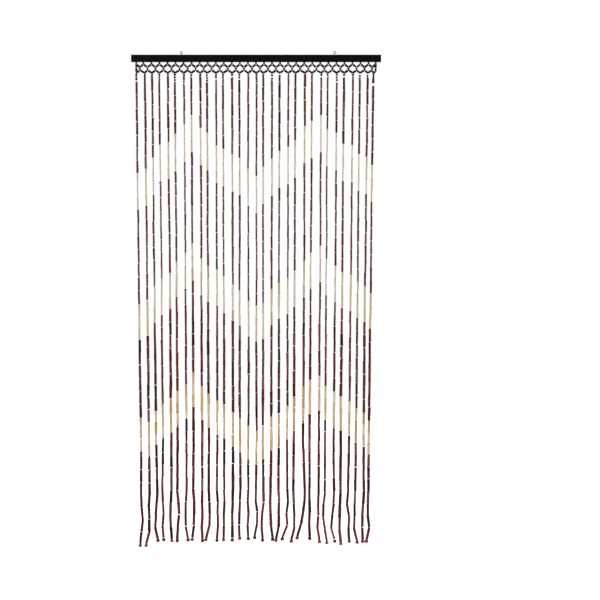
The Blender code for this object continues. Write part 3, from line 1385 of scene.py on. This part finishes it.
@dataclass
class Heading:
    """The heading: short black-brown beads on paired cords between the bar and the knots.

    leg_radius: of the slanted beads and those at the heading's two sides.
    upright_radius: of the beads under the bar and between meeting and parting.
    leg_bare and side_bare: how much cord shows at the ends of slanted beads and of the others.
    link_length: the least length that gets a bead between a side's foot and its knot.
    cord_apart: how far two cords stand from the middle of a bead that they share.
    middle, length and thickness: how far a bead's place, length and thickness may stray.
    """

    stringing: Stringing
    leg_radius: float = 0.0043
    upright_radius: float = 0.0038
    leg_bare: float = 0.0024
    side_bare: float = 0.0006
    side_beads: int = 2
    link_length: float = 0.006
    knot_radius: float = 0.0032
    cord_apart: float = 0.0006
    tones: tuple[float, ...] = (0.00, 0.02, 0.04, 0.07, 0.11, 0.18)
    middle: Span = (0.48, 0.52)
    length: Span = (0.94, 1.02)
    thickness: Span = (0.90, 1.08)
    seed: int = 12
    beads: list[Bead] = field(default_factory=list)
    knots: list[Bead] = field(default_factory=list)
    cords: list[list[Vector]] = field(default_factory=list)

    def thread(self) -> None:
        """Places every bead, knot and cord of the heading."""
        chance = random.Random(self.seed)
        last = self.stringing.count - 1
        for index in range(self.stringing.count):
            leaves = self.stringing.exit(index)
            hole = Vector((leaves.x, leaves.y, self.stringing.underside))
            self._bead(hole, leaves, self.upright_radius, self.side_bare, chance)
            self.cords.append([hole, leaves])
            self._knot(self.stringing.knot(index))
        for index in range(last):
            self._cross(index, chance)
        self._side(0, chance)
        self._side(last, chance)

    def _cross(self, index: int, chance: random.Random) -> None:
        """Threads the two strings that meet between one exit and the next.

        Args:
            index: the left one's number.
            chance: the choice of sizes and tones.
        """
        meeting = self.stringing.meeting(index)
        parting = self.stringing.parting(index)
        self._bead(meeting, parting, self.upright_radius, self.side_bare, chance)
        for side, other in ((index, index + 1), (index + 1, index)):
            leaves = self.stringing.exit(side)
            self._bead(leaves, meeting, self.leg_radius, self.leg_bare, chance)
            self._bead(parting, self.stringing.knot(side), self.leg_radius, self.leg_bare, chance)
            beside = Vector((self.cord_apart * (1 if side == index else -1), self.cord_apart, 0.0))
            self.cords.append([leaves, meeting + beside, parting - beside, self.stringing.knot(other)])

    def _side(self, index: int, chance: random.Random) -> None:
        """Threads the upright string at one side of the heading, which turns in to the strand's knot.

        Args:
            index: the string's number.
            chance: the choice of sizes and tones.
        """
        top = self.stringing.exit(index)
        foot = self.stringing.side_foot(index)
        knot = self.stringing.knot(index)
        for step in range(self.side_beads):
            above = top.lerp(foot, step / self.side_beads)
            below = top.lerp(foot, (step + 1) / self.side_beads)
            self._bead(above, below, self.leg_radius, self.side_bare, chance)
        if (foot - knot).length > self.link_length:
            self._bead(foot, knot, self.upright_radius, self.side_bare, chance)
        self.cords.append([top, foot, knot])

    def _knot(self, place: Vector) -> None:
        """Ties a knot."""
        half = Vector((0.0, 0.0, self.knot_radius))
        self.knots.append(Bead(place + half, place - half, self.knot_radius, 0.0))

    def _bead(
        self, top: Vector, bottom: Vector, radius: float, bare: float, chance: random.Random
    ) -> None:
        """Threads one short bead along a stretch of string.

        Args:
            top: the stretch's upper end.
            bottom: its lower end.
            radius: how thick the bead is.
            bare: how much cord shows at each of its ends.
            chance: the choice of sizes and tones.
        """
        middle = top.lerp(bottom, chance.uniform(*self.middle))
        room = (top - bottom).length / 2 - bare
        half = (top - bottom).normalized() * (room * chance.uniform(*self.length))
        tone = chance.choice(self.tones)
        turn = chance.uniform(0.0, math.tau)
        thick = radius * chance.uniform(*self.thickness)
        self.beads.append(Bead(middle + half, middle - half, thick, tone, turn=turn))


@dataclass
class BeadWork:
    """Turns the threaded beads and cords of heading and strands into pieces."""

    heading: Heading
    strands: Strands
    node: str = "strung_curtain"
    tube: BoredTube = BoredTube(0.0032, 0.0470, bore=0.0011, ease=0.0005, steps=1, waist=0.965)
    round: BoredTube = BoredTube(0.0035, 0.0066, bore=0.0011, ease=0.0013, steps=2, waist=1.06)
    heading_cord_radius: float = 0.0009

    def build(self) -> None:
        """Makes every piece of the strung curtain."""
        tubes = self.tube.mould()
        rounds = self.round.mould()
        ball = BoredBall(self.strands.ball_radius, sides=16, rings=10, squash=self.strands.ball_squash)
        knot = BoredBall(self.heading.knot_radius, sides=8, rings=5, squash=1.1)
        dark = DARK_BAMBOO.material()
        pale = NATURAL_BAMBOO.material()
        cord = HEADING_CORD.material()
        beads = self.strands.beads
        work = (
            ("heading_beads", tubes, self.heading.beads, dark, Slot.STAINED_BAMBOO),
            ("dark_tubes", tubes, beads[BeadKind.DARK_TUBE], dark, Slot.STAINED_BAMBOO),
            ("pale_tubes", tubes, beads[BeadKind.PALE_TUBE], pale, Slot.PALE_BAMBOO),
            ("round_beads", rounds, beads[BeadKind.ROUND], dark, Slot.STAINED_BAMBOO),
            ("ball_beads", ball.mould(), beads[BeadKind.BALL], TurnedWood().material(), Slot.BALL_BEAD),
            ("heading_knots", knot.mould(), self.heading.knots, cord, Slot.BEAD_CORD),
        )
        for seed, (name, mould, threaded, finish, slot) in enumerate(work):
            piece = mould.copies(name, threaded, seed)
            dress(piece, finish, slot, (self.node,))
            LOG.info("%s: %d beads", name, len(threaded))
        self._cords("heading_cords", self.heading.cords, self.heading_cord_radius, cord)
        self._cords("strand_cords", self.strands.cords, self.strands.cord_radius, STRAND_CORD.material())

    def _cords(
        self, name: str, lines: Sequence[Sequence[Vector]], radius: float, finish: bpy.types.Material
    ) -> None:
        """Makes thin cords along lines, as one mesh.

        Args:
            name: the piece's name.
            lines: the places that each cord passes.
            radius: the cord's half thickness.
            finish: the cord's material.
        """
        curve = bpy.data.curves.new(name, "CURVE")
        curve.dimensions = "3D"
        curve.bevel_depth = radius
        curve.bevel_resolution = 1
        curve.use_fill_caps = True
        for line in lines:
            spline = curve.splines.new("POLY")
            spline.points.add(len(line) - 1)
            for point, place in zip(spline.points, line):
                point.co = (*place, 1.0)
        piece = bpy.data.objects.new(name, curve)
        bpy.context.scene.collection.objects.link(piece)
        object_mode_on(piece)
        bpy.ops.object.convert(target="MESH")
        piece = bpy.context.object
        dress(piece, finish, Slot.BEAD_CORD, (self.node,))


@dataclass(frozen=True)
class SoftBox:
    """A square soft light: its name, place, width and power."""

    name: str
    place: Place
    width: float
    power: float


@dataclass
class Studio:
    """The pale floor, the soft lights and the camera.

    floor_band: how wide the band of faces at the floor's rim is.
    surround_light: how strongly the white surround lights the curtain.
    lit_middle: what the soft lights face.
    """

    floor_z: float = -2.05
    floor_radius: float = 3.2
    floor_sides: int = 96
    floor_band: float = 0.8
    surround_light: float = 0.30
    lights: tuple[SoftBox, ...] = (
        SoftBox("key_softbox", (-2.2, -3.4, 0.9), 2.6, 70.0),
        SoftBox("fill_softbox", (2.8, -2.8, -0.6), 2.4, 40.0),
        SoftBox("back_softbox", (0.6, 3.2, 0.8), 2.6, 40.0),
    )
    lit_middle: Place = (0.0, 0.0, -0.9)
    camera_back: float = 4.3995
    camera_z: float = -0.3299
    camera_tilt: float = math.radians(82.6)
    lens: float = 72.0
    sensor: float = 36.0
    shift: float = 0.0732

    def build(self) -> None:
        """Makes the studio."""
        self._floor()
        self._world()
        for soft_box in self.lights:
            self._light(soft_box)
        self._camera()

    def _floor(self) -> None:
        """Makes the wide round floor."""
        bpy.ops.object.select_all(action="DESELECT")
        bpy.ops.mesh.primitive_circle_add(
            vertices=self.floor_sides,
            radius=self.floor_radius,
            fill_type="NGON",
            location=(0.0, 0.0, self.floor_z),
        )
        floor = bpy.context.object
        floor.name = "studio_floor"
        bpy.ops.object.mode_set(mode="EDIT")
        bpy.ops.mesh.select_all(action="SELECT")
        bpy.ops.mesh.inset(thickness=self.floor_band)
        bpy.ops.object.mode_set(mode="OBJECT")
        apply_place(floor)
        floor.data.materials.append(StudioWhite().material())

    def _world(self) -> None:
        """Makes an even white surround, which looks brighter to the camera than it lights."""
        world = bpy.data.worlds.new("studio_surround")
        world.use_nodes = True
        tree = world.node_tree
        lit = tree.nodes["Background"]
        lit.inputs["Color"].default_value = WHITE
        lit.inputs["Strength"].default_value = self.surround_light
        seen = tree.nodes.new("ShaderNodeBackground")
        seen.inputs["Color"].default_value = WHITE
        rays = tree.nodes.new("ShaderNodeLightPath")
        either = tree.nodes.new("ShaderNodeMixShader")
        tree.links.new(rays.outputs["Is Camera Ray"], either.inputs["Fac"])
        tree.links.new(lit.outputs["Background"], either.inputs[1])
        tree.links.new(seen.outputs["Background"], either.inputs[2])
        tree.links.new(either.outputs["Shader"], tree.nodes["World Output"].inputs["Surface"])
        bpy.context.scene.world = world
        bpy.context.scene.view_settings.view_transform = "Standard"

    def _light(self, soft_box: SoftBox) -> None:
        """Adds a soft light that faces the curtain's middle.

        Args:
            soft_box: the light.
        """
        bpy.ops.object.light_add(type="AREA", location=soft_box.place)
        light = bpy.context.object
        light.name = soft_box.name
        light.data.size = soft_box.width
        light.data.energy = soft_box.power
        aim = Vector(self.lit_middle) - light.location
        light.rotation_euler = aim.to_track_quat("-Z", "Y").to_euler()

    def _camera(self) -> None:
        """Puts the camera where the photograph was taken from."""
        bpy.ops.object.camera_add(
            location=(0.0, -self.camera_back, self.camera_z), rotation=(self.camera_tilt, 0.0, 0.0)
        )
        camera = bpy.context.object
        camera.name = "camera"
        camera.data.lens = self.lens
        camera.data.sensor_width = self.sensor
        camera.data.shift_x = self.shift
        bpy.context.scene.camera = camera


def main() -> None:
    """Builds the sub-assemblies in order."""
    logging.basicConfig(level=logging.INFO, format="%(name)s %(message)s")
    stringing = Stringing()
    heading = Heading(stringing)
    strands = Strands(stringing)
    HeaderBar().dress()
    ScrewEyes().build()
    heading.thread()
    strands.thread()
    BeadWork(heading, strands).build()
    Studio().build()


if __name__ == "__main__":
    main()
